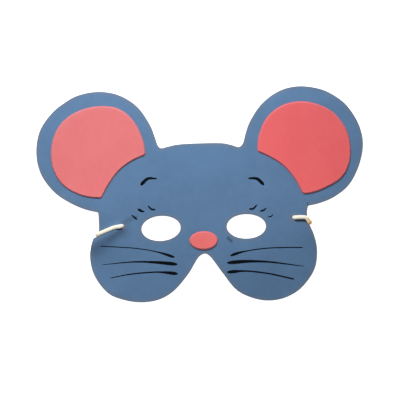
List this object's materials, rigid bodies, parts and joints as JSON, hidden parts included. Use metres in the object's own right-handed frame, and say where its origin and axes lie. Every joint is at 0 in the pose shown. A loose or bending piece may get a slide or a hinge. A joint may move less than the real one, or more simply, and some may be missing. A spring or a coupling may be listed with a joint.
{
  "type": "mouse mask",
  "caption": "Child's mouse mask of bowed sheet foam with round lined ears, oval eye holes, a glued nose and a knotted round elastic, lying face up",
  "frame": {"origin": "on the surface that the mask lies on, under the middle of the outline of its face", "axes": "+X to the right of someone looking at the face, +Y from the cheeks to the ears, +Z out of the face"},
  "size_m": [0.246, 0.1604, 0.0132],
  "materials": {
    "blue_foam": "matt closed-cell foam, blue-grey",
    "coral_foam": "matt closed-cell foam, coral",
    "cream_elastic": "braided cover, cream",
    "black_ink": "screen print, matt, black"
  },
  "bodies": {
    "root": {"mask_face": "blue_foam", "ear_lining_left": "coral_foam", "ear_lining_right": "coral_foam", "nose": "coral_foam", "elastic_end_left": "cream_elastic", "elastic_end_right": "cream_elastic", "elastic_strap": "cream_elastic", "knot_left": "cream_elastic", "knot_right": "cream_elastic"}
  },
  "joints": []
}
